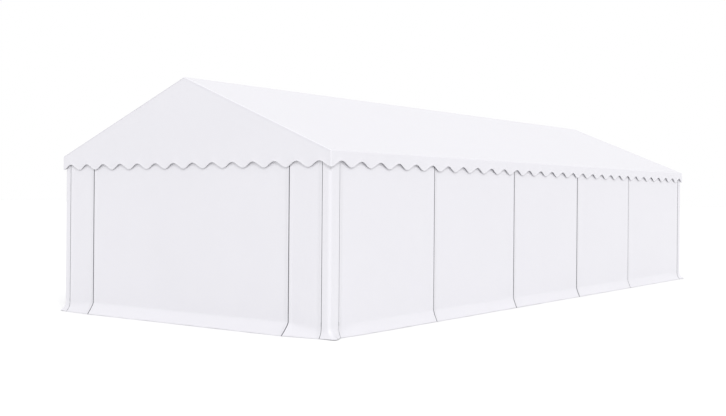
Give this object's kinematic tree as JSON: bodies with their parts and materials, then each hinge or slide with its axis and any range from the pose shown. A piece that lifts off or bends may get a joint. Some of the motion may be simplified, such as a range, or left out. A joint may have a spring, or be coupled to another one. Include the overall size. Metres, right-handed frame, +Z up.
{
  "type": "storage tent",
  "caption": "Closed gable storage tent: white coated fabric walls and roof with a scalloped valance and ground flap over a steel tube frame.",
  "frame": {"origin": "ground level, under the middle of the tent", "axes": "+Y along the ridge with the front gable at -Y, +X to the right seen from the front, +Z up"},
  "size_m": [4.1, 10.18, 2.6699],
  "materials": {
    "roof_sheet": "white coated fabric, satin",
    "wall_sheet": "white coated fabric, satin",
    "frame_steel": "galvanised tube"
  },
  "bodies": {
    "root": {"roof_left": "roof_sheet", "roof_right": "roof_sheet", "gable_front": "roof_sheet", "gable_rear": "roof_sheet", "valance_left": "roof_sheet", "valance_right": "roof_sheet", "side_wall_left_1": "wall_sheet", "side_wall_left_2": "wall_sheet", "side_wall_left_3": "wall_sheet", "side_wall_left_4": "wall_sheet", "side_wall_left_5": "wall_sheet", "side_wall_right_1": "wall_sheet", "side_wall_right_2": "wall_sheet", "side_wall_right_3": "wall_sheet", "side_wall_right_4": "wall_sheet", "side_wall_right_5": "wall_sheet", "front_wall_left": "wall_sheet", "front_door": "wall_sheet", "front_wall_right": "wall_sheet", "rear_wall_left": "wall_sheet", "rear_door": "wall_sheet", "rear_wall_right": "wall_sheet", "corner_cover_front_left": "wall_sheet", "corner_cover_front_right": "wall_sheet", "corner_cover_rear_left": "wall_sheet", "corner_cover_rear_right": "wall_sheet", "post_left_1": "frame_steel", "post_left_2": "frame_steel", "post_left_3": "frame_steel", "post_left_4": "frame_steel", "post_left_5": "frame_steel", "post_left_6": "frame_steel", "post_right_1": "frame_steel", "post_right_2": "frame_steel", "post_right_3": "frame_steel", "post_right_4": "frame_steel", "post_right_5": "frame_steel", "post_right_6": "frame_steel", "rafters_1": "frame_steel", "rafters_2": "frame_steel", "rafters_3": "frame_steel", "rafters_4": "frame_steel", "rafters_5": "frame_steel", "rafters_6": "frame_steel", "ridge_pole": "frame_steel", "eave_rail_left": "frame_steel", "eave_rail_right": "frame_steel", "front_beam": "frame_steel", "rear_beam": "frame_steel"}
  },
  "joints": []
}
